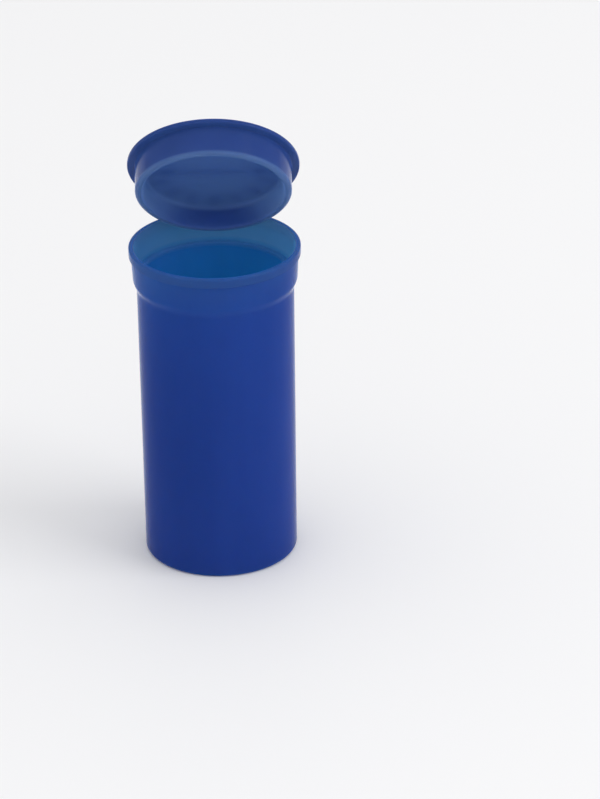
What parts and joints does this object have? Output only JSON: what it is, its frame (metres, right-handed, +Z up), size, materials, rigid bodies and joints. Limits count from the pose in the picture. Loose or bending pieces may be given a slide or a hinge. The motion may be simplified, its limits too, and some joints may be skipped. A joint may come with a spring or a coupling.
{
  "type": "prescription vial",
  "caption": "Round plastic prescription vial with a one-piece squeeze-open plug lid on a living hinge, standing open on its flat base.",
  "frame": {"origin": "centre of the flat base", "axes": "+Z up the vial's axis to its mouth, +Y towards the hinge at the back, +X along the hinge line"},
  "size_m": [0.0398, 0.0404, 0.11],
  "materials": {
    "vial_plastic": "moulded polypropylene, smooth and slightly translucent deep blue",
    "lid_plastic": "moulded polypropylene, smooth satin deep blue",
    "hinge_plastic": "thin flexed polypropylene, paler where it is bent"
  },
  "bodies": {
    "vial": {"vial_base": "vial_plastic", "vial_wall": "vial_plastic", "vial_collar": "vial_plastic", "vial_rim": "vial_plastic", "hinge_web": "hinge_plastic"},
    "lid": {"lid_cover": "lid_plastic", "lid_plug": "lid_plastic", "lid_arrow": "lid_plastic", "lid_mark_1": "lid_plastic", "lid_mark_2": "lid_plastic", "lid_mark_3": "lid_plastic", "lid_mark_4": "lid_plastic", "lid_mark_5": "lid_plastic", "lid_mark_6": "lid_plastic", "lid_mark_7": "lid_plastic"}
  },
  "joints": [
    {"name": "lid_hinge", "type": "hinge", "parent": "vial", "child": "lid", "pos_m": [0, 0.0196, 0.0776], "axis": [-1, 0, 0], "range_deg": [-53.76, 116.24], "stiffness_Nm_per_rad": 0.006, "springref_deg": 4.3, "deforming": ["hinge_web"]}
  ]
}
